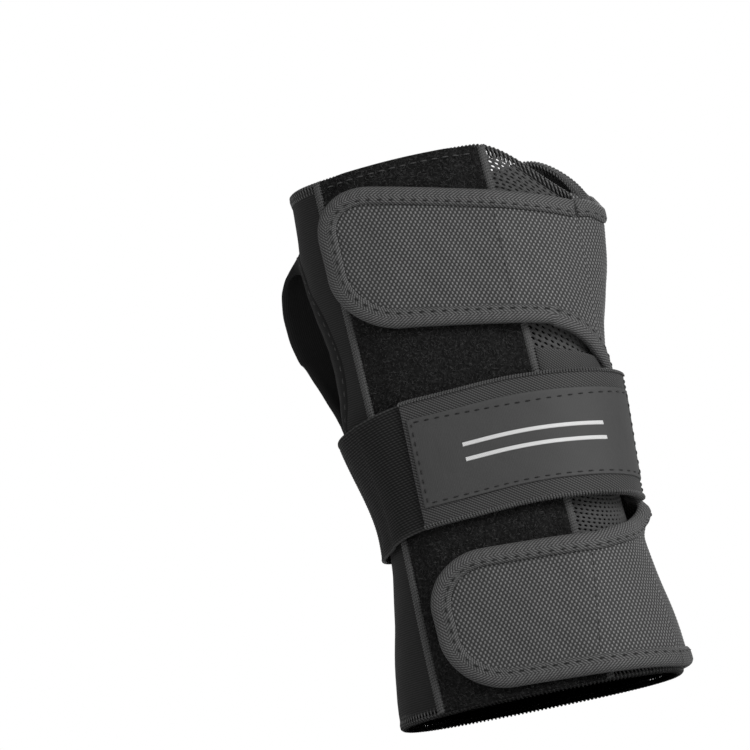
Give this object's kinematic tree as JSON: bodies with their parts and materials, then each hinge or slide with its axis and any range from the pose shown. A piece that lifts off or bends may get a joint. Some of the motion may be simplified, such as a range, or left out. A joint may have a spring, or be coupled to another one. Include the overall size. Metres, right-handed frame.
{
  "type": "wrist guard",
  "caption": "Right-hand wrist guard: neoprene sleeve with thumb hole, palm splint, leather palm, loop panel, woven straps and an elastic wrist strap.",
  "frame": {"origin": "centre of the box's footprint, on the plane that the forearm hem stands on", "axes": "+Z from the forearm to the fingers, +Y out of the palm, -Y out of the back of the hand, -X to the thumb side, +X to the little-finger side"},
  "size_m": [0.1164, 0.0758, 0.1936],
  "materials": {
    "neoprene": "matt knit-faced foam rubber",
    "mesh_knit": "open spacer mesh",
    "loop_velour": "brushed loop pile",
    "overlock_thread": "thread ribs",
    "ballistic_nylon": "coarse basket weave",
    "binding_tape": "herringbone tape",
    "elastic_knit": "ribbed elastic",
    "twill_tape": "twill tape",
    "label_satin": "satin",
    "hook_tape": "hook pile",
    "synthetic_leather": "grained, semi-matt",
    "splint_plastic": "satin gloss",
    "foam": "open foam",
    "lining_jersey": "smooth jersey"
  },
  "bodies": {
    "sleeve": {"palm_body_panel": "neoprene", "dorsal_body_panel": "neoprene", "ulnar_body_panel": "neoprene", "thumb_side_panel": "neoprene", "thumb_hole_facing": "neoprene", "mesh_gusset": "mesh_knit", "loop_panel": "loop_velour", "loop_edge_thumb": "overlock_thread", "loop_edge_ulnar": "overlock_thread", "finger_hem": "overlock_thread", "forearm_hem": "overlock_thread", "ulnar_yoke": "ballistic_nylon", "yoke_binding": "binding_tape", "elastic_band": "elastic_knit", "gusset_tape": "twill_tape", "leather_palm_panel": "synthetic_leather", "palm_splint": "splint_plastic", "dorsal_splint": "splint_plastic", "palm_foam_pad": "foam", "palm_lining": "lining_jersey", "dorsal_lining": "lining_jersey"},
    "upper_strap": {"upper_strap": "ballistic_nylon", "upper_strap_binding": "binding_tape", "upper_strap_hook": "hook_tape"},
    "lower_strap": {"lower_strap": "ballistic_nylon", "lower_strap_binding": "binding_tape", "lower_strap_hook": "hook_tape"},
    "elastic_tab": {"elastic_tab": "elastic_knit", "tab_cover": "twill_tape", "label_patch": "label_satin", "tab_hook": "hook_tape"}
  },
  "joints": [
    {"name": "upper_strap_peel", "type": "hinge", "parent": "sleeve", "child": "upper_strap", "pos_m": [0.04582, -0.01827, 0.14488], "axis": [0.0059, -0.122, 0.9925], "range_deg": [0, 100]},
    {"name": "lower_strap_peel", "type": "hinge", "parent": "sleeve", "child": "lower_strap", "pos_m": [0.04746, -0.01534, 0.02552], "axis": [-0.0718, 0.1243, 0.9896], "range_deg": [0, 100]},
    {"name": "elastic_tab_peel", "type": "hinge", "parent": "sleeve", "child": "elastic_tab", "pos_m": [-0.04062, -0.01564, 0.08178], "axis": [0.074, 0.101, -0.9921], "range_deg": [0, 100]}
  ]
}
